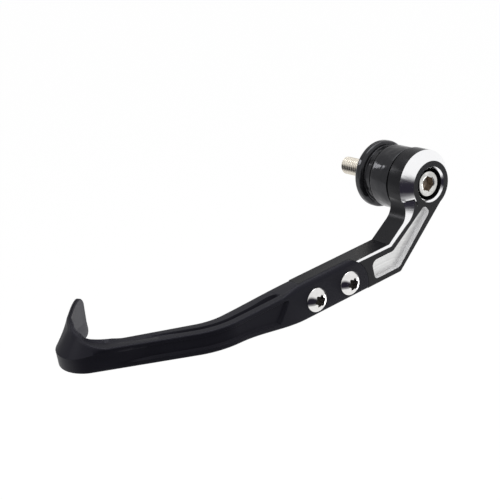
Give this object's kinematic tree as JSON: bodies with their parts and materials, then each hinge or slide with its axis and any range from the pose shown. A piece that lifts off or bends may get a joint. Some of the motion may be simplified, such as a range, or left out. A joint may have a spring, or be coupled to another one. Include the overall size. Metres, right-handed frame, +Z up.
{
  "type": "brake lever guard",
  "caption": "Bar-end lever guard: bevelled round head on an angled alloy bar, a screwed-on plastic blade curling inboard to a fin, and a grooved collar on a long socket bolt.",
  "frame": {"origin": "centre of the collar flange's face, where it meets the handlebar's end, on the clamp bolt's axis", "axes": "+X along the clamp bolt into the handlebar (inboard), +Y forward along the guard, +Z up"},
  "size_m": [0.0703, 0.1827, 0.0468],
  "materials": {
    "black_anodised_alloy": "black anodised, with bright machined bevels, chamfers and pocket",
    "black_nylon": "matt moulded glass-filled nylon",
    "glossy_black_collar": "glossy black",
    "stainless_steel": "bright stainless, fine thread",
    "polished_screw": "polished button heads"
  },
  "bodies": {
    "root": {"mounting_arm": "black_anodised_alloy", "lever_guard": "black_nylon", "bar_end_collar": "glossy_black_collar", "clamp_bolt": "stainless_steel", "rear_guard_screw": "polished_screw", "front_guard_screw": "polished_screw"}
  },
  "joints": []
}
